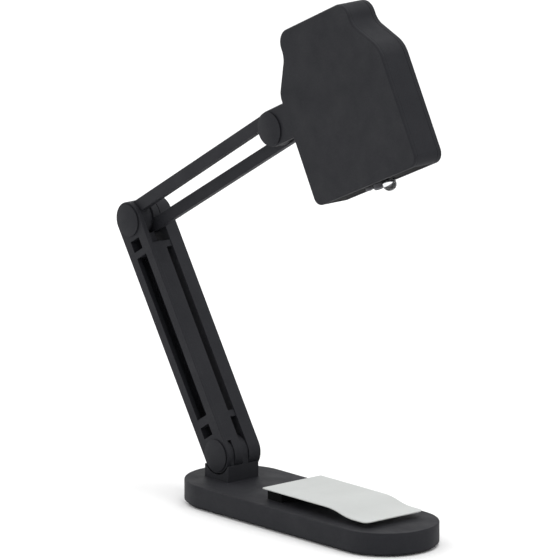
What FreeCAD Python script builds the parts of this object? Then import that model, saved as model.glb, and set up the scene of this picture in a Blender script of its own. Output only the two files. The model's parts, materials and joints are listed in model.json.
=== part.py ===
import FreeCAD, Part
import math
import os

# Compact folding overhead projector.
# Millimetres. Z is up and the table is z = 0. X runs along the base towards the free end of the leaf,
# and every hinge turns about Y. Shapes are drawn from the middle of the base's underside, and saving
# moves them so that the middle of the whole unit's footprint is the origin.

Vec = FreeCAD.Vector
os.makedirs("parts", exist_ok=True)

footprint_middle = -35.9

# ---- base ----
base_length = 252.0
base_width = 81.0
base_top = 18.6
base_wall = 2.4
base_skin = 2.8
base_edge_radius = 0.9
cover_bottom = 0.9
cover_top = 3.0
cover_inset = 1.2
foot_pad_diameter = 14.0
foot_pad_height = 1.4
boss_radius = 3.6
screw_diameter = 2.5
screw_hole = 2.6
ballast_size = Vec(170.0, 46.0, 5.0)
ballast_corner = 6.0
boss_end_x = 104.0
boss_end_y = 23.0
boss_side_y = 33.0
boss_hole_top = 13.0
foot_pad_x = 84.0
foot_pad_y = 25.0
rib_x = 40.0
rib_half_length = 30.0
rib_thickness = 2.0

# ---- leaf ----
leaf_back = -23.0
leaf_front = 96.0
leaf_width = 58.3
leaf_thickness = 0.8
leaf_height = 9.2
leaf_drop = 4.2
leaf_bend_start = 50.0
leaf_bend_length = 33.0
leaf_corner = 5.0
spacer_back = -22.0
spacer_front = -5.5
spacer_width = 50.0
spacer_corner = 0.8
stud_y = 16.0
nut_across = 5.0
flex_gap = 0.3

# ---- hinges and arms ----
foot_x = -92.0
foot_rise = 18.8
arm_length = 193.7
lug_radius = 14.0
lower_lean = 32.0
upper_rise = 31.5
head_rise = 26.8
axle_diameter = 8.0
running_bore = 8.1
side_gap = 0.3
washer_radius = 7.6
washer_bore = 4.2
washer_depth = 0.7

# widths across the arms, measured along Y from the camera-side face
arm_near = -16.0
plate_thickness = 3.75
centre_far = -1.15
groove_far = 5.1
arm_far = 16.8
link_thickness = 6.5
link_bar_height = 9.3
link_bar_outer = 13.9
near_link_slant = 0.75

# ---- hinge bracket ----
bracket_half = 13.1
bracket_block_height = 10.2
bracket_front = 14.2
bracket_lip_height = 12.4
bracket_far = 14.0
left_ear_width = 2.75
scoop_clearance = 0.8
bracket_screw_x = 10.0
bracket_screw_near = -5.0
bracket_screw_far = 9.6

# ---- lower arm ----
window_width = 12.2
window_start = 31.0
window_end = 164.2
hole_length = 11.0
hole_height = 9.0
hole_from_pivot = 20.0
hole_shift = 0.8
arm_edge_radius = 0.6
peg_radius = 1.4
peg_length = 4.0
peg_clearance = 0.05
beam_hollow_start = 20.0
beam_hollow_end = 173.0
centre_top = 167.2
ear_slot_radius = 15.3
near_top = 179.0
near_top_far = -2.1
relief_depth = 6.5
relief_ramp = 2.5
tab_inner = 24.3
tab_outer = 29.3
skin = 2.4

# ---- hinge hardware ----
cap_radius = 12.3
head_cap_radius = 13.0
cap_rim = 0.4
cap_bulge = 1.2
cap_undercut = 0.7
cap_hollow_radius = 6.0
link_screw_ring = 10.3
link_spacer_radius = 12.2
counterbore_radius = 7.0
counterbore_depth = 2.0
axle_head_radius = 6.5
axle_head_thickness = 2.5

# ---- head ----
head_thickness = 27.0
head_lug_radius = 13.8
head_far_lug_near = 5.1
near_shell_thickness = 2.8
far_shell_thickness = 4.5
frame_wall = 2.2
grip_recess = 2.8
grip_end = -67.0
grip_ramp = 8.0
head_edge_radius = 1.5
head_top = 63.5
head_top_back = 39.7
head_top_front = 127.1
shoulder_high = 44.7
shoulder_low = 19.9
head_back = 22.0
head_front = 149.6
head_bottom_back = -69.5
head_bottom_front = -73.8
head_bottom_back_x = 24.7
head_bottom_front_x = 152.7
rim_depth = 0.4
bottom_plate_thickness = 2.0

# ---- optics, along the underside of the head ----
status_x = 74.2
barrel_x = 85.6
dome_x = 98.7
status_diameter = 5.5
barrel_diameter = 7.5
barrel_grooves = 16
groove_radius = 0.28
barrel_end_radius = 0.9
bump_end_radius = 1.1
dome_diameter = 10.6
status_drop = 1.9
barrel_drop = 3.6
dome_drop = 8.4

# ---- button and inlet on the back of the head ----
button_z = -34.0
button_diameter = 8.0
button_proud = 1.4
inlet_z = -52.0
inlet_width = 9.2
inlet_height = 3.4

# ---- boards, cell and heat sink ----
lamp_board_back = 6.6
lamp_board_front = 8.0
lamp_board_half = 8.0
board_thickness = 1.6
sink_height = 14.0
sink_floor = 3.0
fin_gap = 2.4
fin_pitch = 4.0

# ---- worked out from the values above ----
axis_z = base_top + foot_rise
foot_axis = Vec(foot_x, 0, axis_z)
lean = math.radians(lower_lean)
rise = math.radians(upper_rise)
knee_axis = foot_axis + Vec(-math.sin(lean), 0, math.cos(lean)) * arm_length
head_axis = knee_axis + Vec(math.cos(rise), 0, math.sin(rise)) * arm_length
plate_inner = arm_near + plate_thickness
near_link_near = plate_inner + side_gap
near_link_far = near_link_near + link_thickness
far_link_far = groove_far - side_gap
far_link_near = far_link_far - link_thickness
head_near = arm_near
head_far = head_near + head_thickness
frame_near = head_near + near_shell_thickness
frame_far = head_far - far_shell_thickness
head_middle = (head_near + head_far) / 2


def box(x0, x1, y0, y1, z0, z1):
    return Part.makeBox(x1 - x0, y1 - y0, z1 - z0, Vec(x0, y0, z0))


def rod(radius, y0, y1, x=0.0, z=0.0):
    """A cylinder along Y."""
    return Part.makeCylinder(radius, y1 - y0, Vec(x, y0, z), Vec(0, 1, 0))


def post(radius, z0, z1, x=0.0, y=0.0):
    """A cylinder along Z."""
    return Part.makeCylinder(radius, z1 - z0, Vec(x, y, z0))


def ring(outer, inner, y0, y1, x=0.0, z=0.0):
    return rod(outer, y0, y1, x, z).cut(rod(inner, y0, y1, x, z))


def fuse(first, *others):
    return first.fuse(list(others)).removeSplitter()


def cut(solid, *tools):
    return solid.cut(list(tools))


def stadium(inset, z0, z1):
    """The base's outline, pulled in by inset and raised from z0 to z1."""
    radius = base_width / 2 - inset
    end = base_length / 2 - base_width / 2
    return fuse(box(-end, end, -radius, radius, z0, z1),
                post(radius, z0, z1, -end), post(radius, z0, z1, end))


def bar(radius, length, y0, y1):
    """A round-ended arm that stands on the Y axis and runs up Z."""
    return fuse(box(-radius, radius, y0, y1, 0, length),
                rod(radius, y0, y1), rod(radius, y0, y1, 0, length))


def rounded_face(corners):
    """A face in the XZ plane, from corners given as (x, z, radius)."""
    edges = []
    last = None
    first = None
    count = len(corners)
    for i in range(count):
        here = Vec(corners[i][0], 0, corners[i][1])
        radius = corners[i][2]
        before = corners[i - 1]
        after = corners[(i + 1) % count]
        back = (Vec(before[0], 0, before[1]) - here).normalize()
        ahead = (Vec(after[0], 0, after[1]) - here).normalize()
        half = back.getAngle(ahead) / 2
        reach = radius / math.tan(half)
        start = here + back * reach
        end = here + ahead * reach
        inward = (back + ahead).normalize()
        middle = here + inward * (radius / math.sin(half) - radius)
        if last is None:
            first = start
        else:
            edges.append(Part.makeLine(last, start))
        edges.append(Part.Arc(start, middle, end).toShape())
        last = end
    edges.append(Part.makeLine(last, first))
    return Part.Face(Part.Wire(edges))


def thick(face, y0, y1):
    """Extrude a face of the XZ plane from y0 to y1."""
    solid = face.extrude(Vec(0, y1 - y0, 0))
    solid.translate(Vec(0, y0, 0))
    return solid


def flat_edges(solid, y):
    """The edges of a solid that lie in the plane at y."""
    return [edge for edge in solid.Edges
            if abs(edge.BoundBox.YMin - y) < 1e-6 and abs(edge.BoundBox.YMax - y) < 1e-6]


def level_edges(solid, z):
    return [edge for edge in solid.Edges
            if abs(edge.BoundBox.ZMin - z) < 1e-6 and abs(edge.BoundBox.ZMax - z) < 1e-6]


def tilt(shape, degrees, origin):
    """Turn a shape up about Y by degrees, then carry it to its pivot."""
    turned = shape.copy()
    turned.rotate(Vec(0, 0, 0), Vec(0, 1, 0), -degrees)
    turned.translate(origin)
    return turned


def on_lower_arm(shape):
    return tilt(shape, lower_lean, foot_axis)


def on_upper_arm(shape):
    return tilt(shape, upper_rise, knee_axis)


def on_head(shape):
    return tilt(shape, head_rise, head_axis)


def save(name, *shapes):
    whole = shapes[0] if len(shapes) == 1 else Part.makeCompound(list(shapes))
    whole.translated(Vec(-footprint_middle, 0, 0)).exportStep("parts/" + name + ".step")


# ==== base ====
boss_places = [(x, y) for x in (-boss_end_x, boss_end_x) for y in (-boss_end_y, boss_end_y)]
boss_places += [(0, -boss_side_y), (0, boss_side_y)]
bracket_screw_places = [(foot_x + x, y) for x in (-bracket_screw_x, bracket_screw_x)
                        for y in (bracket_screw_near, bracket_screw_far)]
spacer_middle = (spacer_back + spacer_front) / 2
stud_places = [(spacer_middle, y) for y in (-stud_y, stud_y)]

shell = stadium(0, cover_top, base_top)
shell = shell.makeFillet(base_edge_radius, level_edges(shell, base_top))
shell = cut(shell, stadium(base_wall, cover_top, base_top - base_skin))
for x, y in boss_places:
    shell = shell.fuse(post(boss_radius, cover_top, base_top - base_skin, x, y))
for x in (-rib_x, rib_x):
    shell = shell.fuse(box(x - rib_thickness / 2, x + rib_thickness / 2, -rib_half_length, rib_half_length,
                           cover_top + ballast_size.z, base_top - base_skin))
for x, y in boss_places:
    shell = shell.cut(post(screw_hole / 2, cover_top, boss_hole_top, x, y))
for x, y in bracket_screw_places + stud_places:
    shell = shell.cut(post(screw_hole / 2, 12, 20, x, y))
save("base_shell", shell.removeSplitter())

cover = stadium(cover_inset, cover_bottom, cover_top)
cover = cover.makeChamfer(1.0, level_edges(cover, cover_bottom))
for x, y in boss_places:
    cover = cut(cover, post(1.6, 0, 4, x, y), post(3.0, 0, 2.1, x, y))
pad_places = [(x, y) for x in (-foot_pad_x, foot_pad_x) for y in (-foot_pad_y, foot_pad_y)]
for x, y in pad_places:
    cover = cover.cut(post(foot_pad_diameter / 2 + 0.1, 0, foot_pad_height, x, y))
save("base_bottom_cover", cover)

save("rubber_feet", *[post(foot_pad_diameter / 2, 0, foot_pad_height, x, y) for x, y in pad_places])
save("base_screws", *[fuse(post(2.8, 0.95, 2.1, x, y), post(screw_diameter / 2, 2.1, 11, x, y))
                      for x, y in boss_places])

ballast = box(-ballast_size.x / 2, ballast_size.x / 2, -ballast_size.y / 2, ballast_size.y / 2,
              cover_top, cover_top + ballast_size.z)
corners = [e for e in ballast.Edges if e.BoundBox.ZLength > 4]
save("ballast_plate", ballast.makeFillet(ballast_corner, corners))

# ==== hinge bracket ====
knuckle_near = plate_inner + side_gap + left_ear_width + side_gap
right_ear_near = centre_far + side_gap
right_ear_far = groove_far - side_gap
bracket_near = plate_inner + side_gap
left_ear_far = bracket_near + left_ear_width


def ear(y0, y1):
    top = rod(bracket_half, y0, y1)
    leg = box(-bracket_half, bracket_half, y0, y1, -foot_rise, 0)
    return top.fuse(leg)


scoop = lug_radius + scoop_clearance
bracket = fuse(box(-bracket_half, 0, arm_near, bracket_far, -foot_rise, -foot_rise + bracket_block_height),
               box(0, bracket_front, arm_near, bracket_far, -foot_rise, -foot_rise + bracket_lip_height))
bracket = cut(bracket, rod(scoop, -20, bracket_near), rod(scoop, left_ear_far, right_ear_near),
              rod(scoop, right_ear_far, 20))
bracket = fuse(bracket, ear(bracket_near, left_ear_far), ear(right_ear_near, right_ear_far))
bracket = cut(bracket, rod(running_bore / 2, -20, 20),
              rod(washer_radius + 0.1, bracket_near, bracket_near + washer_depth),
              rod(washer_radius + 0.1, right_ear_far - washer_depth, right_ear_far))
bracket.translate(foot_axis)
for x, y in bracket_screw_places:
    bracket = bracket.cut(post(screw_hole / 2, base_top, base_top + 6.4, x, y))
save("hinge_bracket", bracket)

head_depth = base_top - base_skin
save("bracket_screws", *[fuse(post(2.6, head_depth - 2.2, head_depth, x, y),
                              post(screw_diameter / 2, head_depth, base_top + 6, x, y))
                         for x, y in bracket_screw_places])


def washers(near_face, far_face, carry):
    """Two friction rings, each sunk in the outer face of the moving or fixed lug."""
    proud = side_gap / 2
    near = ring(washer_radius, washer_bore, near_face - proud, near_face + washer_depth)
    far = ring(washer_radius, washer_bore, far_face - washer_depth, far_face + proud)
    return [carry(near), carry(far)]


save("foot_friction_washers", *washers(bracket_near, right_ear_far, lambda s: tilt(s, 0, foot_axis)))

# ==== leaf ====
leaf_top = base_top + leaf_height
leaf_under = leaf_top - leaf_thickness
spacer = box(spacer_back, spacer_front, -spacer_width / 2, spacer_width / 2, base_top, leaf_under)
spacer = spacer.makeFillet(spacer_corner, [e for e in spacer.Edges if e.BoundBox.ZLength > 5])
for x, y in stud_places:
    spacer = spacer.cut(post(screw_hole / 2, base_top, leaf_under, x, y))
save("leaf_spacer", spacer)

half_leaf = leaf_width / 2
save("leaf_root", box(leaf_back, spacer_front, -half_leaf, half_leaf, leaf_under, leaf_top))
save("leaf_studs", *[post(screw_diameter / 2, 12.5, leaf_under, x, y) for x, y in stud_places])


def hexagon(across, z0, z1, x, y):
    radius = across / math.sqrt(3)
    angles = [math.radians(60 * i) for i in range(7)]
    points = [Vec(x + radius * math.cos(a), y + radius * math.sin(a), z0) for a in angles]
    return Part.Face(Part.makePolygon(points)).extrude(Vec(0, 0, z1 - z0))


nuts = [hexagon(nut_across, head_depth - 2, head_depth, x, y) for x, y in stud_places]
save("leaf_nuts", *[nut.cut(post(screw_hole / 2, 10, 20, *place)) for nut, place in zip(nuts, stud_places)])

bend_radius = (leaf_bend_length ** 2 + leaf_drop ** 2) / (4 * leaf_drop)
bend_angle = 2 * math.atan(leaf_drop / leaf_bend_length)
bend_end = leaf_bend_start + leaf_bend_length


def on_bend(centre_x, centre_z, radius, angle):
    return Vec(centre_x + radius * math.sin(angle), 0, centre_z + radius * math.cos(angle))


def leaf_line(drop):
    """The leaf's curve, drop below its top surface, as points for two arcs."""
    crest = (leaf_bend_start, leaf_top - bend_radius, bend_radius - drop)
    valley = (bend_end, leaf_top - leaf_drop + bend_radius, bend_radius + drop)
    return [on_bend(*crest, 0), on_bend(*crest, bend_angle / 2), on_bend(*crest, bend_angle),
            on_bend(*valley, math.pi + bend_angle / 2), on_bend(*valley, math.pi)]


blade_start = spacer_front + flex_gap
upper = leaf_line(0)
lower = leaf_line(leaf_thickness)
front_top = Vec(leaf_front, 0, leaf_top - leaf_drop)
front_low = Vec(leaf_front, 0, leaf_top - leaf_drop - leaf_thickness)
back_top = Vec(blade_start, 0, leaf_top)
back_low = Vec(blade_start, 0, leaf_under)
blade_wire = Part.Wire([
    Part.makeLine(back_top, upper[0]),
    Part.Arc(upper[0], upper[1], upper[2]).toShape(),
    Part.Arc(upper[2], upper[3], upper[4]).toShape(),
    Part.makeLine(upper[4], front_top),
    Part.makeLine(front_top, front_low),
    Part.makeLine(front_low, lower[4]),
    Part.Arc(lower[4], lower[3], lower[2]).toShape(),
    Part.Arc(lower[2], lower[1], lower[0]).toShape(),
    Part.makeLine(lower[0], back_low),
    Part.makeLine(back_low, back_top)])
blade = thick(Part.Face(blade_wire), -half_leaf, half_leaf)
corner_cutter = box(blade_start - 50, leaf_front, -half_leaf, half_leaf, 0, 60)
corner_cutter = corner_cutter.makeFillet(leaf_corner, [e for e in corner_cutter.Edges
                                                       if e.BoundBox.ZLength > 50 and e.BoundBox.XMin > 0])
save("leaf_blade", blade.common(corner_cutter))

# ==== lower arm ====
plate = bar(lug_radius, arm_length, arm_near, plate_inner)
plate = plate.makeFillet(arm_edge_radius, flat_edges(plate, arm_near))
half_window = window_width / 2
half_hole = hole_length / 2
half_hole_height = hole_height / 2
window_tools = [box(-half_window, half_window, -20, 0, window_start, window_end)]
for z in (hole_from_pivot, arm_length - hole_from_pivot):
    window_tools.append(box(-half_hole - hole_shift, half_hole - hole_shift, -20, 0,
                            z - half_hole_height, z + half_hole_height))
for z in (0, arm_length):
    window_tools.append(rod(axle_diameter / 2, -20, 0, 0, z))
    window_tools.append(rod(counterbore_radius, -20, arm_near + counterbore_depth, 0, z))
plate = cut(plate, *window_tools)
peg_places = [(-8.5, 28.0), (9.8, 28.0), (-9.8, 167.4), (9.8, 167.4)]
for x, z in peg_places:
    plate = plate.fuse(rod(peg_radius, plate_inner, plate_inner + peg_length, x, z))
save("lower_arm_side_plate", on_lower_arm(plate))

centre = fuse(box(-lug_radius, lug_radius, plate_inner, centre_far, 0, centre_top),
              box(-lug_radius, lug_radius, plate_inner, near_top_far, centre_top, near_top),
              rod(lug_radius, plate_inner, centre_far))
hollow = box(-lug_radius + skin, lug_radius - skin, plate_inner, centre_far - 2, window_start, window_end)
pockets = [box(-half_hole - hole_shift, half_hole - hole_shift, plate_inner, centre_far - 2, z0, z1)
           for z0, z1 in ((hole_from_pivot - 8, hole_from_pivot + half_hole_height),
                          (arm_length - hole_from_pivot - half_hole_height,
                           arm_length - hole_from_pivot + half_hole_height))]
relief_low = arm_length - tab_inner
relief_points = [Vec(lug_radius, 0, relief_low),
                 Vec(lug_radius - relief_depth, 0, relief_low + relief_ramp),
                 Vec(lug_radius - relief_depth, 0, near_top),
                 Vec(lug_radius, 0, near_top)]
relief = thick(Part.Face(Part.makePolygon(relief_points + relief_points[:1])), plate_inner, centre_far)
centre = cut(centre, hollow, relief, *pockets, rod(ear_slot_radius, plate_inner, knuckle_near))
far_beam = bar(lug_radius, arm_length, groove_far, arm_far)
far_beam = far_beam.makeFillet(arm_edge_radius, flat_edges(far_beam, arm_far))
far_beam = cut(far_beam, box(-lug_radius, lug_radius - skin, groove_far + skin, arm_far - skin,
                             beam_hollow_start, beam_hollow_end))
tabs = [box(-lug_radius, lug_radius - 0.8, centre_far - 1, groove_far + 1, z0, z1)
        for z0, z1 in ((tab_inner, tab_outer), (arm_length - tab_outer, arm_length - tab_inner))]
frame = fuse(centre, far_beam, *tabs)
hole_tools = []
for z in (0, arm_length):
    hole_tools.append(rod(axle_diameter / 2, -20, 20, 0, z))
    hole_tools.append(rod(axle_head_radius + 0.2, arm_far - axle_head_thickness - 0.2, 20, 0, z))
for x, z in peg_places:
    hole_tools.append(rod(peg_radius + peg_clearance, plate_inner, plate_inner + peg_length + 0.2, x, z))
frame = cut(frame, *hole_tools)
save("lower_arm_frame", on_lower_arm(frame))


def axle(far_end):
    """A headed pin: the head sits in the far counterbore, the near end under the cap."""
    head_start = far_end - axle_head_thickness - 0.2
    shank = rod(axle_diameter / 2, arm_near + 0.8, head_start)
    groove = ring(axle_diameter / 2 + 1, axle_diameter / 2 - 0.5, arm_near + 1.0, arm_near + 1.9)
    return cut(fuse(shank, rod(axle_head_radius, head_start, head_start + axle_head_thickness)), groove)


def clip():
    return ring(5.6, axle_diameter / 2 - 0.45, arm_near + 1.05, arm_near + 1.85)


def cap(radius):
    """A slightly domed cap that stands off the arm on a smaller neck and plugs the counterbore."""
    under = arm_near - cap_undercut
    rim = under - cap_rim
    crown = rim - cap_bulge
    ball_radius = (radius ** 2 + cap_bulge ** 2) / (2 * cap_bulge)
    halfway = Vec(radius / 2, crown + ball_radius - math.sqrt(ball_radius ** 2 - radius ** 2 / 4), 0)
    profile = Part.Wire([
        Part.Arc(Vec(0, crown, 0), halfway, Vec(radius, rim, 0)).toShape(),
        Part.makeLine(Vec(radius, rim, 0), Vec(radius, under, 0)),
        Part.makeLine(Vec(radius, under, 0), Vec(0, under, 0)),
        Part.makeLine(Vec(0, under, 0), Vec(0, crown, 0))])
    disc = Part.Face(profile).revolve(Vec(0, 0, 0), Vec(0, 1, 0), 360)
    neck = rod(radius - 1.6, under, arm_near)
    plug = ring(counterbore_radius - 0.05, cap_hollow_radius,
                arm_near - 0.1, arm_near + counterbore_depth - 0.2)
    hollow_top = rod(cap_hollow_radius, arm_near - 0.3, arm_near)
    return cut(fuse(disc, neck, plug), hollow_top)


knee_offset = Vec(0, 0, arm_length)
save("foot_axle", on_lower_arm(axle(arm_far)))
save("knee_axle", on_lower_arm(axle(arm_far).translated(knee_offset)))
save("axle_clips", on_lower_arm(clip()), on_lower_arm(clip().translated(knee_offset)))
save("foot_cap", on_lower_arm(cap(cap_radius)))
save("knee_cap", on_lower_arm(cap(cap_radius).translated(knee_offset)))

# ==== upper arm ====
screw_spots = [(x, z) for x in (0, arm_length) for z in (-link_screw_ring, link_screw_ring)]


def link(y0, y1, side, slant):
    """One rail. side is +1 for the upper one and -1 for the lower one, and its knee end drops by slant."""
    inner = side * (link_bar_outer - link_bar_height)
    outer = side * link_bar_outer
    rail = box(0, arm_length, y0, y1, min(inner, outer), max(inner, outer))
    rail.rotate(Vec(arm_length, 0, 0), Vec(0, 1, 0), -slant)
    solid = fuse(rail, rod(lug_radius, y0, y1), rod(lug_radius, y0, y1, arm_length))
    tools = [rod(running_bore / 2, y0, y1, x) for x in (0, arm_length)]
    tools += [rod(screw_hole / 2, y0, y1, x, z) for x, z in screw_spots]
    return cut(solid, *tools)


near_link = link(near_link_near, near_link_far, 1, near_link_slant)
far_link = link(far_link_near, far_link_far, -1, 0)
for x in (0, arm_length):
    near_link = near_link.cut(rod(washer_radius + 0.1, near_link_near, near_link_near + washer_depth, x))
    far_link = far_link.cut(rod(washer_radius + 0.1, far_link_far - washer_depth, far_link_far, x))
for x, z in screw_spots:
    near_link = near_link.cut(rod(2.45, near_link_near, near_link_near + 1.4, x, z))
save("upper_arm_near_link", on_upper_arm(near_link))
save("upper_arm_far_link", on_upper_arm(far_link))


def link_spacer(x):
    barrel = rod(link_spacer_radius, near_link_far, far_link_near, x)
    tools = [rod(running_bore / 2, near_link_far, far_link_near, x)]
    tools += [rod(screw_hole / 2, near_link_far, far_link_near, x, z)
              for z in (-link_screw_ring, link_screw_ring)]
    return cut(barrel, *tools)


save("knee_link_spacer", on_upper_arm(link_spacer(0)))
save("head_link_spacer", on_upper_arm(link_spacer(arm_length)))
screw_end = far_link_far - 0.8
save("link_screws", *[on_upper_arm(fuse(rod(2.4, near_link_near + 0.1, near_link_near + 1.4, x, z),
                                        rod(screw_diameter / 2, near_link_near + 1, screw_end, x, z)))
                      for x, z in screw_spots])
save("knee_friction_washers", *washers(near_link_near, far_link_far, on_upper_arm))
save("head_friction_washers", *washers(near_link_near, far_link_far,
                                       lambda s: on_upper_arm(s.translated(Vec(arm_length, 0, 0)))))

# ==== head shells ====
outline = rounded_face([
    (head_top_back, head_top, 11.5),
    (head_top_front, head_top, 12.0),
    (head_top_front, shoulder_high, 15.0),
    (head_front, shoulder_low, 22.0),
    (head_bottom_front_x, head_bottom_front, 8.5),
    (head_bottom_back_x, head_bottom_back, 7.2),
    (head_back, shoulder_low, 14.0),
    (head_top_back, shoulder_high, 15.0)])

neck_reach = head_back + 8
near_lug = fuse(rod(head_lug_radius, head_near, plate_inner),
                box(0, neck_reach, head_near, plate_inner, -head_lug_radius, head_lug_radius))
far_lug = fuse(rod(head_lug_radius, head_far_lug_near, head_far),
               box(0, neck_reach, head_far_lug_near, head_far, -head_lug_radius, head_lug_radius))
shell_screw_places = [(56.0, 52.0), (110.0, 52.0), (36.0, 10.0), (138.0, 8.0), (46.0, -58.0), (138.0, -58.0)]

near_shell = fuse(thick(outline, head_near, frame_near), near_lug)
near_shell = near_shell.makeFillet(head_edge_radius, flat_edges(near_shell, head_near))
for x, z in shell_screw_places:
    near_shell = near_shell.fuse(rod(3.2, frame_near, frame_far - 0.2, x, z))
for x, z in shell_screw_places:
    near_shell = near_shell.cut(rod(screw_hole / 2, head_near + 4, frame_far, x, z))
near_shell = cut(near_shell, rod(axle_diameter / 2, -20, 0),
                 rod(counterbore_radius, -20, head_near + counterbore_depth))
save("head_near_shell", on_head(near_shell))

far_shell = fuse(thick(outline, frame_far, head_far), far_lug)
far_shell = far_shell.makeFillet(head_edge_radius, flat_edges(far_shell, head_far))
for x, z in shell_screw_places:
    far_shell = cut(far_shell, rod(1.6, frame_far, head_far, x, z), rod(2.7, head_far - 2.4, head_far, x, z))
far_shell = cut(far_shell, rod(axle_diameter / 2, 0, 20),
                rod(axle_head_radius + 0.2, head_far - axle_head_thickness - 0.2, 20))
save("head_far_shell", on_head(far_shell))

save("shell_screws", *[on_head(fuse(rod(2.5, head_far - 2.4, head_far - 0.4, x, z),
                                    rod(screw_diameter / 2, frame_near + 6, head_far - 2.4, x, z)))
                       for x, z in shell_screw_places])

# ==== head frame ====
# The band between the shells. Its front slants in towards the near shell as a finger grip.
band_width = frame_far - frame_near
whole = thick(outline, frame_near, frame_far)
slanted = outline.translated(Vec(-grip_recess, frame_near, 0)).extrude(Vec(grip_recess, band_width, 0))
grip_zone = [(head_front + 3, grip_end), (head_front + 9, grip_end), (head_front + 9, head_top + 1),
             (head_top_back + 40, head_top + 1), (head_top_back + 40, 0), (head_front + 3 - grip_recess, 0),
             (head_front + 3 - grip_recess, grip_end + grip_ramp)]
zone_points = [Vec(x, frame_near, z) for x, z in grip_zone]
zone = Part.Face(Part.makePolygon(zone_points + zone_points[:1])).extrude(Vec(0, band_width, 0))
band_outer = whole.cut(whole.cut(slanted).common(zone))
band_face = [f for f in band_outer.Faces if f.BoundBox.YLength < 1e-6 and f.BoundBox.YMin < 0][0]
inner_face = band_face.makeOffset2D(-frame_wall)
inner = inner_face.extrude(Vec(0, band_width, 0))
open_bottom = box(head_bottom_back_x + 6, head_bottom_front_x - 9, frame_near, frame_far, -80, -50)
band = cut(band_outer, inner, open_bottom)


def on_back(height):
    """Where the back wall's outer face is, at a height on the head."""
    fraction = (shoulder_low - height) / (shoulder_low - head_bottom_back)
    return head_back + fraction * (head_bottom_back_x - head_back)


button_x = on_back(button_z)
inlet_x = on_back(inlet_z)


def along_head(radius, x0, x1, y, z):
    """A cylinder along the head's width."""
    return Part.makeCylinder(radius, x1 - x0, Vec(x0, y, z), Vec(1, 0, 0))



def inlet_body(grow, x0, x1):
    half_y = inlet_height / 2 + grow
    half_z = inlet_width / 2 + grow
    body = box(x0, x1, head_middle - half_y, head_middle + half_y, inlet_z - half_z, inlet_z + half_z)
    return body.makeFillet(1.2, [e for e in body.Edges if e.BoundBox.XLength > 2])


band = cut(band, along_head(button_diameter / 2 + 0.2, button_x - 4, button_x + 6, head_middle, button_z),
           inlet_body(0.1, inlet_x - 4, inlet_x + 6))
band = cut(band, near_lug, far_lug)
save("head_frame", on_head(band))

# ==== underside of the head ====
slope = (head_bottom_front - head_bottom_back) / (head_bottom_front_x - head_bottom_back_x)


def bottom_z(x):
    return head_bottom_back + slope * (x - head_bottom_back_x)


plate_back = head_bottom_back_x + 6.2
plate_front = head_bottom_front_x - 9.2
plate_corners = [(plate_back, bottom_z(plate_back) + rim_depth),
                 (plate_front, bottom_z(plate_front) + rim_depth),
                 (plate_front, bottom_z(plate_front) + rim_depth + bottom_plate_thickness),
                 (plate_back, bottom_z(plate_back) + rim_depth + bottom_plate_thickness)]
plate_points = [Vec(x, 0, z) for x, z in plate_corners]
plate_wire = Part.makePolygon(plate_points + plate_points[:1])
bottom_plate = thick(Part.Face(plate_wire), frame_near, frame_far)


def head_post(radius, x, low, high):
    """A cylinder across the underside at x, from low to high above the rim."""
    return Part.makeCylinder(radius, high - low, Vec(x, head_middle, bottom_z(x) + low))


under = rim_depth + bottom_plate_thickness
bottom_plate = cut(bottom_plate, head_post(status_diameter / 2 + 0.05, status_x, -5, 9),
                   head_post(barrel_diameter / 2 + 0.3, barrel_x, -5, 9),
                   head_post(dome_diameter / 2 + 0.05, dome_x, -5, 9))
save("head_bottom_plate", on_head(bottom_plate))

bump = head_post(status_diameter / 2, status_x, -status_drop, under + 1.2)
bump = bump.makeFillet(bump_end_radius, [e for e in bump.Edges if e.CenterOfMass.z < bottom_z(status_x) - 1])
status = fuse(bump,
              head_post(status_diameter / 2 + 1, status_x, under + 0.2, under + 1.2))
save("status_light", on_head(status))

dome_radius = dome_diameter / 2
dome_ball = Part.makeSphere(dome_radius, Vec(dome_x, head_middle, bottom_z(dome_x) - dome_drop + dome_radius))
dome = fuse(dome_ball, head_post(dome_radius, dome_x, -dome_drop + dome_radius, under + 1.6),
            head_post(dome_radius + 1.3, dome_x, under + 0.3, under + 1.6))
dome = cut(dome, head_post(3.0, dome_x, under + 0.4, under + 2))
save("lamp_dome", on_head(dome))

board_back = dome_x - lamp_board_back
board_front = dome_x + lamp_board_front
lamp_board = box(board_back, board_front, head_middle - lamp_board_half, head_middle + lamp_board_half,
                 -board_thickness, 0)
lamp_board.translate(Vec(0, 0, bottom_z(dome_x) + under + 3.4))
save("lamp_board", on_head(lamp_board))
board_low = under + 1.8
led = box(dome_x - 1.8, dome_x + 1.8, head_middle - 1.8, head_middle + 1.8, -1.0, 0)
led.translate(Vec(0, 0, bottom_z(dome_x) + board_low))
save("lamp_led", on_head(led))

sink = box(board_back, board_front, head_middle - lamp_board_half, head_middle + lamp_board_half,
           0, sink_height)
for i in range(4):
    y = head_middle + (i - 1.5) * fin_pitch
    sink = sink.cut(box(board_back, board_front, y - fin_gap / 2, y + fin_gap / 2, sink_floor, sink_height))
sink.translate(Vec(0, 0, bottom_z(dome_x) + under + 3.4))
save("heat_sink", on_head(sink))

# ==== lens barrel, turned to focus ====
barrel_radius = barrel_diameter / 2
sleeve_low = under + 0.25
sleeve = cut(head_post(barrel_radius + 2.2, barrel_x, sleeve_low, under + 9),
             head_post(barrel_radius + 0.08, barrel_x, sleeve_low, under + 9))
save("lens_sleeve", on_head(sleeve))

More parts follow.
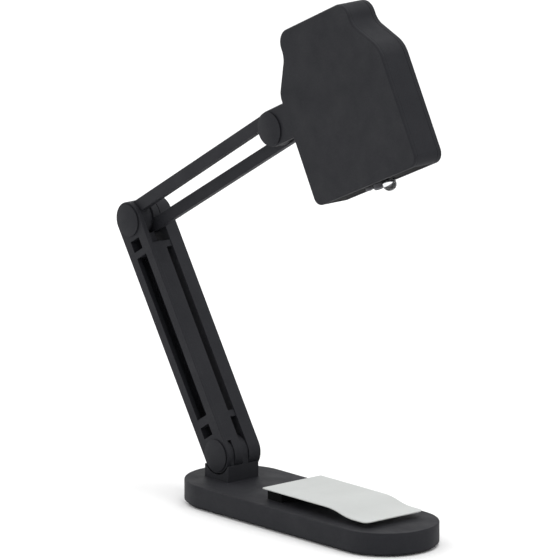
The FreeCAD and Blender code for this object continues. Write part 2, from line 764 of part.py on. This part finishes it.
barrel = head_post(barrel_radius, barrel_x, -barrel_drop, under + 8.4)
barrel_low = bottom_z(barrel_x) - barrel_drop
end_edges = [e for e in barrel.Edges if e.CenterOfMass.z < barrel_low + 0.1]
barrel = barrel.makeFillet(barrel_end_radius, end_edges)
for i in range(barrel_grooves):
    angle = math.radians(i * 360 / barrel_grooves)
    groove_x = barrel_x + barrel_radius * math.cos(angle)
    groove_y = head_middle + barrel_radius * math.sin(angle)
    groove_foot = Vec(groove_x, groove_y, barrel_low + 1.1)
    barrel = barrel.cut(Part.makeCylinder(groove_radius, barrel_drop - 1.5, groove_foot))
barrel = cut(barrel, head_post(barrel_radius - 1.0, barrel_x, -barrel_drop, -barrel_drop + 2.2),
             head_post(barrel_radius - 1.5, barrel_x, -barrel_drop, under + 8.4),
             head_post(barrel_radius - 1.0, barrel_x, under + 5.4, under + 8.4))
save("focus_barrel", on_head(barrel))


def lens(low, high, bulge):
    """A glass disc whose lower face bulges."""
    radius = barrel_radius - 1.0
    disc = head_post(radius, barrel_x, low, high)
    ball_radius = (radius ** 2 + bulge ** 2) / (2 * bulge)
    ball_z = bottom_z(barrel_x) + low - bulge + ball_radius
    ball = Part.makeSphere(ball_radius, Vec(barrel_x, head_middle, ball_z))
    crown = ball.common(head_post(radius, barrel_x, low - bulge, low))
    return fuse(disc, crown)


save("front_lens", on_head(lens(-barrel_drop + 1.3, -barrel_drop + 2.2, 0.5)))
save("rear_lens", on_head(lens(under + 5.4 + 0.6, under + 7.2, 0.5)))

imager = box(barrel_x - 9, barrel_x + 3.5, head_middle - 7, head_middle + 7, 0, 1.4)
imager.translate(Vec(0, 0, bottom_z(barrel_x) + under + 10.4))
chip = box(barrel_x - 3, barrel_x + 3, head_middle - 3, head_middle + 3, -0.9, 0)
chip.translate(Vec(0, 0, bottom_z(barrel_x) + under + 10.4))
save("imager_board", on_head(fuse(imager, chip)))

# ==== inside the head ====
pcb_near = frame_near + 3.0
chip_face = pcb_near + board_thickness
main_board = box(48, 128, pcb_near, chip_face, -46, 34)
main_board = main_board.makeFillet(2, [e for e in main_board.Edges if e.BoundBox.YLength > 1])
chips = [box(70, 84, chip_face, chip_face + 1.8, 6, 20),
         box(98, 108, chip_face, chip_face + 1.4, 10, 20),
         box(60, 68, chip_face, chip_face + 1.4, -30, -18)]
save("main_board", on_head(fuse(main_board, *chips)))

cell = box(62, 122, pcb_near + 4.0, frame_far - 0.6, -40, 2)
cell = cell.makeFillet(2.5, [e for e in cell.Edges if e.BoundBox.XLength > 50])
save("battery_cell", on_head(cell))

switch_x = button_x + 6.0
button_plate = box(switch_x + 3.4, switch_x + 5.0, head_middle - 7, head_middle + 7, -62, -24)
save("side_board", on_head(button_plate))
switch_can = box(switch_x + 0.6, switch_x + 3.4, head_middle - 3, head_middle + 3, button_z - 3, button_z + 3)
switch = fuse(switch_can, along_head(1.5, switch_x - 0.2, switch_x + 0.6, head_middle, button_z))
save("power_switch", on_head(switch))
inlet = inlet_body(0, inlet_x + 0.4, switch_x + 3.4)
inlet_hole = box(inlet_x, inlet_x + 6.5, head_middle - 1.2, head_middle + 1.2, inlet_z - 4.1, inlet_z + 4.1)
tongue = box(inlet_x + 1.2, inlet_x + 6.6, head_middle - 0.35, head_middle + 0.35,
             inlet_z - 3.3, inlet_z + 3.3)
save("charge_inlet", on_head(fuse(inlet.cut(inlet_hole), tongue)))

button = fuse(along_head(button_diameter / 2, button_x - button_proud, button_x + 3.0, head_middle, button_z),
              along_head(button_diameter / 2 + 1.1, button_x + 3.0, button_x + 4.0, head_middle, button_z),
              along_head(1.2, button_x + 4.0, switch_x - 1.3, head_middle, button_z))
save("power_button", on_head(button))

save("head_axle", on_head(axle(head_far)))
save("head_clip", on_head(clip()))
save("head_cap", on_head(cap(head_cap_radius)))
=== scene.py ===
import json
import math

import bmesh
import bpy
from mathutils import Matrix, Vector


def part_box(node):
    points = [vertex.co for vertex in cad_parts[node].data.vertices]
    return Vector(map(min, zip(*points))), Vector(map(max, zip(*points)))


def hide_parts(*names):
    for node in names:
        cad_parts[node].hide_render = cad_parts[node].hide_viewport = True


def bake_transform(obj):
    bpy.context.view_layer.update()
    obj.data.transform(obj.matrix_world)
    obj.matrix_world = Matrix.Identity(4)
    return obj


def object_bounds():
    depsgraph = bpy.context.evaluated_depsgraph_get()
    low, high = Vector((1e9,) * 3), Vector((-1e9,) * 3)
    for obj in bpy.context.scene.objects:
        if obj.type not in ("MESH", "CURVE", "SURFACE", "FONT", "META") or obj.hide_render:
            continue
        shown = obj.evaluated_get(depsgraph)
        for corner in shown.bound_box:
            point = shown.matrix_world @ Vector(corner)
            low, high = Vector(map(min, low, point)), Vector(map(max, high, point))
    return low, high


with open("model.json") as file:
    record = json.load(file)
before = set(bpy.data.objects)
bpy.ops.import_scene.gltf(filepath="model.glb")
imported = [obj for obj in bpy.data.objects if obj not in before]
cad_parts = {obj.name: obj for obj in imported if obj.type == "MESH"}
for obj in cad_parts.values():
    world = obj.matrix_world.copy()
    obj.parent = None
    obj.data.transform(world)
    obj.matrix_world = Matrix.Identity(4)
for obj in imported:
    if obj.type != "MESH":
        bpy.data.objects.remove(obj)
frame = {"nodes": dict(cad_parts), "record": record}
cad_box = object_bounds()

MM = 0.001

# ---- materials ----
# noise scales, in cycles per metre
DRIFT_SCALE = 22       # slow change of a plastic's colour
GRAIN_SCALE = 2600     # spark texture from the mould
RUB_SCALE = 160        # where an edge is rubbed and where it isn't
SHEEN_SCALE = 55       # uneven gloss of a plastic
LINE_SCALE = 1800      # drawn or brushed lines of a metal
CLOUD_SCALE = 60       # uneven gloss of a metal
HAZE_SCALE = 300       # faint haze of a clear piece
PAPER_SCALE = 3        # tone of the floor

# sockets of a Mix node that is set to colours
MIX_FIRST, MIX_SECOND, MIX_RESULT = 6, 7, 2

RUB_RADIUS = 0.7 * MM
RUB_STRENGTH = 0.35
GRAIN_DEPTH = 0.3 * MM
LINE_DEPTH = 0.1 * MM
LINE_STRENGTH = 0.12
HAZE_DEPTH = 0.2 * MM
HAZE_STRENGTH = 0.02
CLEAR_IOR = 1.49


def new_material(name):
    material = bpy.data.materials.new(name)
    material.use_nodes = True
    nodes = material.node_tree.nodes
    nodes.clear()
    shader = nodes.new("ShaderNodeBsdfPrincipled")
    output = nodes.new("ShaderNodeOutputMaterial")
    material.node_tree.links.new(shader.outputs["BSDF"], output.inputs["Surface"])
    return material, shader


def node(owner, kind, **settings):
    """A new node in a material or in the world."""
    made = owner.node_tree.nodes.new(kind)
    for name, value in settings.items():
        setattr(made, name, value)
    return made


def noise(material, scale, detail=3.0, roughness=0.55, stretch=(1, 1, 1)):
    """Noise fixed to the object, whose scale is in cycles per metre."""
    place = node(material, "ShaderNodeTexCoord")
    mapping = node(material, "ShaderNodeMapping")
    mapping.inputs["Scale"].default_value = stretch
    texture = node(material, "ShaderNodeTexNoise")
    texture.inputs["Scale"].default_value = scale
    texture.inputs["Detail"].default_value = detail
    texture.inputs["Roughness"].default_value = roughness
    links = material.node_tree.links
    links.new(place.outputs["Object"], mapping.inputs["Vector"])
    links.new(mapping.outputs["Vector"], texture.inputs["Vector"])
    return texture.outputs["Fac"]


def spread(owner, value, low, high, start=0.0, end=1.0):
    """Maps a value between start and end onto low to high, and no further."""
    ranged = node(owner, "ShaderNodeMapRange")
    ranged.inputs["From Min"].default_value = start
    ranged.inputs["From Max"].default_value = end
    ranged.inputs["To Min"].default_value = low
    ranged.inputs["To Max"].default_value = high
    owner.node_tree.links.new(value, ranged.inputs["Value"])
    return ranged.outputs["Result"]


def blend_colour(material, factor, first, second):
    """Mixes two colours, each a tuple or a node's output."""
    mix = node(material, "ShaderNodeMix", data_type="RGBA")
    links = material.node_tree.links
    links.new(factor, mix.inputs["Factor"])
    for socket, colour in ((mix.inputs[MIX_FIRST], first), (mix.inputs[MIX_SECOND], second)):
        if isinstance(colour, tuple):
            socket.default_value = (*colour, 1.0)
        else:
            links.new(colour, socket)
    return mix.outputs[MIX_RESULT]


def edge_mask(material, radius):
    """1 on edges tighter than radius, 0 on flat ground."""
    bevel = node(material, "ShaderNodeBevel", samples=6)
    bevel.inputs["Radius"].default_value = radius
    geometry = node(material, "ShaderNodeNewGeometry")
    dot = node(material, "ShaderNodeVectorMath", operation="DOT_PRODUCT")
    links = material.node_tree.links
    links.new(bevel.outputs["Normal"], dot.inputs[0])
    links.new(geometry.outputs["Normal"], dot.inputs[1])
    return spread(material, dot.outputs["Value"], 1.0, 0.0, start=0.80, end=0.985)


def bump(material, shader, height, strength, distance):
    bumped = node(material, "ShaderNodeBump")
    bumped.inputs["Strength"].default_value = strength
    bumped.inputs["Distance"].default_value = distance
    links = material.node_tree.links
    links.new(height, bumped.inputs["Height"])
    links.new(bumped.outputs["Normal"], shader.inputs["Normal"])


def moulded_plastic(name, colour, lighter, worn, rough=0.62, grain=0.10, shine=0.20):
    """Spark-textured plastic: fine grain, slow colour drift, rubbed edges, uneven sheen."""
    material, shader = new_material(name)
    links = material.node_tree.links
    drift = spread(material, noise(material, DRIFT_SCALE, detail=4), 0.0, 1.0, start=0.32, end=0.68)
    fine = noise(material, GRAIN_SCALE, detail=2, roughness=0.6)
    body = blend_colour(material, drift, colour, lighter)
    speck = spread(material, fine, 0.0, 0.35, start=0.45, end=0.75)
    body = blend_colour(material, speck, body, worn)
    patches = spread(material, noise(material, RUB_SCALE), 0.0, RUB_STRENGTH, start=0.35, end=0.62)
    rub = node(material, "ShaderNodeMath", operation="MULTIPLY")
    links.new(edge_mask(material, RUB_RADIUS), rub.inputs[0])
    links.new(patches, rub.inputs[1])
    body = blend_colour(material, rub.outputs["Value"], body, worn)
    links.new(body, shader.inputs["Base Color"])
    sheen = noise(material, SHEEN_SCALE, detail=5)
    links.new(spread(material, sheen, rough - 0.07, rough + 0.08, start=0.3, end=0.7),
              shader.inputs["Roughness"])
    shader.inputs["Specular IOR Level"].default_value = shine
    bump(material, shader, fine, grain, GRAIN_DEPTH)
    return material


def metal(name, colour, darker, rough, stretch):
    """Drawn or brushed metal, with fine lines along one direction and cloudy sheen."""
    material, shader = new_material(name)
    links = material.node_tree.links
    lines = noise(material, LINE_SCALE, detail=2, roughness=0.5, stretch=stretch)
    cloud = noise(material, CLOUD_SCALE, detail=4)
    drawn = spread(material, lines, 0.0, 0.6, start=0.35, end=0.7)
    links.new(blend_colour(material, drawn, colour, darker), shader.inputs["Base Color"])
    links.new(spread(material, cloud, rough - 0.06, rough + 0.1, start=0.3, end=0.7),
              shader.inputs["Roughness"])
    shader.inputs["Metallic"].default_value = 1.0
    bump(material, shader, lines, LINE_STRENGTH, LINE_DEPTH)
    return material


def clear(name, tint, rough):
    """Clear plastic or glass with a faint haze."""
    material, shader = new_material(name)
    links = material.node_tree.links
    shader.inputs["Base Color"].default_value = (*tint, 1.0)
    shader.inputs["Transmission Weight"].default_value = 1.0
    shader.inputs["IOR"].default_value = CLEAR_IOR
    haze = noise(material, HAZE_SCALE)
    links.new(spread(material, haze, rough, rough + 0.06, start=0.4, end=0.7), shader.inputs["Roughness"])
    bump(material, shader, haze, HAZE_STRENGTH, HAZE_DEPTH)
    return material


charcoal = moulded_plastic("charcoal_plastic", colour=(0.0104, 0.0108, 0.0138),
                           lighter=(0.0120, 0.0124, 0.0156), worn=(0.038, 0.039, 0.044), rough=0.66)
# black plastic: the own colour of the small black parts; on the head's bottom plate its dark colour is also
# painted shade, the shade under the head painted into the colour
black_and_painted_shade = moulded_plastic("black_plastic", colour=(0.004, 0.004, 0.0045),
                        lighter=(0.007, 0.007, 0.0075), worn=(0.02, 0.02, 0.021),
                        rough=0.7, shine=0.02)
rubber = moulded_plastic("rubber", colour=(0.012, 0.012, 0.012), lighter=(0.018, 0.018, 0.018),
                         worn=(0.04, 0.04, 0.04), rough=0.82, grain=0.2)
steel = metal("steel", colour=(0.17, 0.17, 0.175), darker=(0.10, 0.10, 0.105), rough=0.38,
              stretch=(1, 0.05, 1))
sink = metal("aluminium", colour=(0.75, 0.75, 0.77), darker=(0.55, 0.55, 0.57), rough=0.4,
             stretch=(0.05, 1, 1))
dome = clear("clear_plastic", tint=(0.97, 0.98, 1.0), rough=0.02)
glass = clear("lens_glass", tint=(0.86, 0.92, 0.96), rough=0.0)
smoke = moulded_plastic("smoke_plastic", colour=(0.080, 0.080, 0.088),
                        lighter=(0.100, 0.100, 0.108), worn=(0.15, 0.15, 0.158),
                        rough=0.36, grain=0.04)
board = moulded_plastic("circuit_board", colour=(0.010, 0.060, 0.028),
                        lighter=(0.016, 0.080, 0.040), worn=(0.10, 0.16, 0.08),
                        rough=0.42, grain=0.05)
led = moulded_plastic("led_phosphor", colour=(0.80, 0.66, 0.16), lighter=(0.86, 0.74, 0.22),
                      worn=(0.9, 0.85, 0.5), rough=0.5)
wrap = moulded_plastic("cell_wrap", colour=(0.22, 0.24, 0.28), lighter=(0.27, 0.29, 0.33),
                       worn=(0.4, 0.42, 0.45), rough=0.35, grain=0.04)
leaf_paint = moulded_plastic("leaf_metal", colour=(0.485, 0.50, 0.49),
                             lighter=(0.515, 0.53, 0.52), worn=(0.60, 0.61, 0.60),
                             rough=0.5, grain=0.05)

by_slot = {"charcoal_plastic": charcoal, "black_plastic": black_and_painted_shade, "rubber": rubber, "steel": steel,
           "aluminium": sink, "clear_plastic": dome, "lens_glass": glass, "smoke_plastic": smoke,
           "circuit_board": board, "led_phosphor": led, "cell_wrap": wrap, "leaf_metal": leaf_paint}

for part in frame["record"]["subparts"]:
    shown = frame["nodes"][part["node"]]
    shown.data.materials.clear()
    shown.data.materials.append(by_slot[part["material_slot"]])

# ---- moulded edges on the CAD pieces ----
HOUSING_EDGE = 0.5 * MM
RAIL_EDGE = 0.8 * MM
SMALL_EDGE = 0.2 * MM
EDGE_SEGMENTS = 3
EDGE_ANGLE = math.radians(32)      # a bend sharper than this is an edge
SAME_POINT = 0.002 * MM            # points of the mesh this close are one point
FLAT_FACE_WEIGHT = 60              # 50 is neutral, and more keeps the shading of large faces flatter


def soften(shown, width):
    """Rounds the sharp edges of a CAD piece with modifiers only, so that its mesh stays as it was imported
    from model.glb.
    """
    weld = shown.modifiers.new("weld", "WELD")
    weld.merge_threshold = SAME_POINT
    bevel = shown.modifiers.new("bevel", "BEVEL")
    bevel.width = width
    bevel.segments = EDGE_SEGMENTS
    bevel.limit_method = "ANGLE"
    bevel.angle_limit = EDGE_ANGLE
    bevel.miter_outer = "MITER_ARC"
    weighted = shown.modifiers.new("weighted", "WEIGHTED_NORMAL")
    weighted.keep_sharp = False
    weighted.weight = FLAT_FACE_WEIGHT


for name in ("base_shell", "base_bottom_cover", "hinge_bracket", "leaf_spacer", "lower_arm_side_plate",
             "lower_arm_frame", "head_near_shell", "head_far_shell", "head_frame", "head_bottom_plate"):
    soften(frame["nodes"][name], HOUSING_EDGE)
for name in ("upper_arm_near_link", "upper_arm_far_link", "knee_link_spacer", "head_link_spacer"):
    soften(frame["nodes"][name], RAIL_EDGE)
for name in ("foot_cap", "knee_cap", "head_cap", "foot_axle", "knee_axle", "head_axle", "power_button",
             "status_light", "charge_inlet", "rubber_feet"):
    soften(frame["nodes"][name], SMALL_EDGE)

# ---- the leaf, one bent sheet from its clamped end to its free end ----
LEAF_TIP = 13.0 * MM               # flat end, from the bend to the free edge
LEAF_BEND = 33.0 * MM              # length of the S-bend
LEAF_CORNER = 5.0 * MM             # corner radius at the free end
LEAF_BACK_CORNER = 0.8 * MM        # corner radius at the clamped end
LEAF_RIM = 0.22 * MM               # rounding of the rim
LEAF_RIM_SEGMENTS = 3
LEAF_ROWS = 96                     # rows between the corners
LEAF_CORNER_ROWS = 12
LEAF_BACK_CORNER_ROWS = 6
LEAF_ACROSS = 25                   # points in a row
RIM_ANGLE = math.radians(60)       # a bend sharper than this is the rim
CREASE_ANGLE = math.radians(50)    # a bend sharper than this isn't shaded smooth
PROBE = 0.05 * MM                  # half the distance over which the sheet's slope is taken


def leaf_sheet():
    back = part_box("leaf_root")[0].x
    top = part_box("leaf_root")[1].z
    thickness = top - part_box("leaf_root")[0].z
    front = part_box("leaf_blade")[1].x
    half_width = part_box("leaf_blade")[1].y
    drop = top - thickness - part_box("leaf_blade")[0].z
    bend_end = front - LEAF_TIP
    bend_start = bend_end - LEAF_BEND
    bend_radius = (LEAF_BEND ** 2 + drop ** 2) / (4 * drop)
    straight_start = back + LEAF_BACK_CORNER
    straight_end = front - LEAF_CORNER

    def height(x):
        """Height of the upper face: flat, two arcs of the S-bend, flat."""
        if x < bend_start:
            return top
        if x < bend_start + LEAF_BEND / 2:
            return top - bend_radius + math.sqrt(bend_radius ** 2 - (x - bend_start) ** 2)
        if x < bend_end:
            return top - drop + bend_radius - math.sqrt(bend_radius ** 2 - (bend_end - x) ** 2)
        return top - drop

    def half_at(x):
        """Half the width, less at the rounded corners."""
        into = max(0.0, x - straight_end)
        behind = max(0.0, straight_start - x)
        return (half_width - LEAF_CORNER + math.sqrt(max(0.0, LEAF_CORNER ** 2 - into ** 2))
                - LEAF_BACK_CORNER + math.sqrt(max(0.0, LEAF_BACK_CORNER ** 2 - behind ** 2)))

    def quarter(i, rows):
        """Row i of a quarter turn."""
        return math.radians(90 / rows * i)

    stations = [back + LEAF_BACK_CORNER * (1 - math.cos(quarter(i, LEAF_BACK_CORNER_ROWS)))
                for i in range(LEAF_BACK_CORNER_ROWS)]
    stations += [straight_start + (straight_end - straight_start) * i / LEAF_ROWS for i in range(LEAF_ROWS)]
    stations += [straight_end + LEAF_CORNER * math.sin(quarter(i, LEAF_CORNER_ROWS))
                 for i in range(LEAF_CORNER_ROWS + 1)]

    shape = bmesh.new()
    sides = []
    for depth in (0.0, thickness):
        rows = []
        for x in stations:
            lean = math.atan((height(x + PROBE) - height(x - PROBE)) / (2 * PROBE))
            shift = depth * math.sin(lean) if x < front - 2 * PROBE else 0.0
            rows.append([shape.verts.new((x + shift,
                                          half_at(x) * (2 * j / (LEAF_ACROSS - 1) - 1),
                                          height(x) - depth * math.cos(lean)))
                         for j in range(LEAF_ACROSS)])
        for i in range(len(rows) - 1):
            for j in range(LEAF_ACROSS - 1):
                quad = [rows[i][j], rows[i + 1][j], rows[i + 1][j + 1], rows[i][j + 1]]
                shape.faces.new(quad if depth == 0.0 else quad[::-1])
        sides.append(rows)
    upper, lower = sides
    last = len(stations) - 1
    edge = LEAF_ACROSS - 1
    rim = ([(i, 0) for i in range(last)] + [(last, j) for j in range(edge)]
           + [(i, edge) for i in range(last, 0, -1)] + [(0, j) for j in range(edge, 0, -1)])
    for (i, j), (next_i, next_j) in zip(rim, rim[1:] + rim[:1]):
        shape.faces.new([upper[i][j], lower[i][j], lower[next_i][next_j], upper[next_i][next_j]])
    bmesh.ops.recalc_face_normals(shape, faces=shape.faces)
    rim_edges = [line for line in shape.edges
                 if len(line.link_faces) == 2 and line.calc_face_angle() > RIM_ANGLE]
    bmesh.ops.bevel(shape, geom=rim_edges, offset=LEAF_RIM, segments=LEAF_RIM_SEGMENTS, affect="EDGES",
                    clamp_overlap=True)
    sheet_mesh = bpy.data.meshes.new("leaf_sheet")
    shape.to_mesh(sheet_mesh)
    shape.free()
    for face in sheet_mesh.polygons:
        face.use_smooth = True
    sheet_mesh.set_sharp_from_angle(angle=CREASE_ANGLE)
    sheet = bpy.data.objects.new("leaf_sheet", sheet_mesh)
    bpy.context.scene.collection.objects.link(sheet)
    sheet_mesh.materials.append(leaf_paint)
    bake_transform(sheet)
    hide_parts("leaf_root", "leaf_blade")


leaf_sheet()

# ---- floor, light and camera ----
FLOOR_REACH = 30.0                 # metres from the middle to each side
SKY_BRIGHT, SKY_DIM = 1.16, 0.84   # the sky's strength towards -X and towards +X

VIEW_AZIMUTH = math.radians(49.3)  # round from the front, -Y, towards +X
VIEW_ELEVATION = math.radians(13.8)
VIEW_WIDTH = 0.4225                # metres across the picture, at the object
AIM_X = -0.5 * MM
AIM_HEIGHT = 0.441                 # of the height of the CAD box
SENSOR = 36.0
LENS = 1400.0


def studio():
    """A pale floor, and a white sky that is a little brighter towards -X, as in the photo."""
    floor_mesh = bpy.data.meshes.new("floor")
    floor_mesh.from_pydata([(-FLOOR_REACH, -FLOOR_REACH, 0), (FLOOR_REACH, -FLOOR_REACH, 0),
                            (FLOOR_REACH, FLOOR_REACH, 0), (-FLOOR_REACH, FLOOR_REACH, 0)],
                           [], [(0, 1, 2, 3)])
    floor = bpy.data.objects.new("floor", floor_mesh)
    bpy.context.scene.collection.objects.link(floor)
    paper, shader = new_material("paper")
    tone = noise(paper, PAPER_SCALE, detail=2)
    paper.node_tree.links.new(blend_colour(paper, tone, (0.93, 0.93, 0.93), (0.95, 0.95, 0.95)),
                              shader.inputs["Base Color"])
    shader.inputs["Roughness"].default_value = 0.9
    floor_mesh.materials.append(paper)
    world = bpy.data.worlds.new("studio")
    world.use_nodes = True
    sky = world.node_tree.nodes["Background"]
    sky.inputs["Color"].default_value = (1.0, 1.0, 1.0, 1.0)
    place = node(world, "ShaderNodeTexCoord")
    split = node(world, "ShaderNodeSeparateXYZ")
    links = world.node_tree.links
    links.new(place.outputs["Generated"], split.inputs[0])
    links.new(spread(world, split.outputs["X"], SKY_BRIGHT, SKY_DIM, start=-1.0, end=1.0),
              sky.inputs["Strength"])
    bpy.context.scene.world = world


def area_light(name, place, aim, size, power):
    """A round lamp at place that points at aim, in metres and watts."""
    data = bpy.data.lights.new(name, "AREA")
    data.shape = "DISK"
    data.size = size
    data.energy = power
    lamp = bpy.data.objects.new(name, data)
    lamp.location = place
    lamp.rotation_mode = "QUATERNION"
    lamp.rotation_quaternion = (Vector(aim) - Vector(place)).to_track_quat("-Z", "Y")
    bpy.context.scene.collection.objects.link(lamp)


def camera():
    """A long lens, so that parallel edges stay parallel."""
    data = bpy.data.cameras.new("camera")
    data.sensor_width = SENSOR
    data.lens = LENS
    distance = VIEW_WIDTH * LENS / SENSOR
    back = Vector((math.sin(VIEW_AZIMUTH) * math.cos(VIEW_ELEVATION),
                   -math.cos(VIEW_AZIMUTH) * math.cos(VIEW_ELEVATION),
                   math.sin(VIEW_ELEVATION)))
    middle = Vector((AIM_X, 0.0, AIM_HEIGHT * cad_box[1].z))
    lens = bpy.data.objects.new("camera", data)
    lens.location = middle + back * distance
    lens.rotation_mode = "QUATERNION"
    lens.rotation_quaternion = back.to_track_quat("Z", "Y")
    data.clip_start = 0.1
    data.clip_end = distance * 4
    bpy.context.scene.collection.objects.link(lens)
    bpy.context.scene.camera = lens


studio()
area_light("top", place=(0.5, 0.3, 2.2), aim=(0, 0, 0.2), size=1.2, power=15)
area_light("left", place=(-1.9, -0.3, 1.1), aim=(0, 0, 0.2), size=1.2, power=9)
camera()
bpy.context.scene.view_settings.view_transform = "Standard"
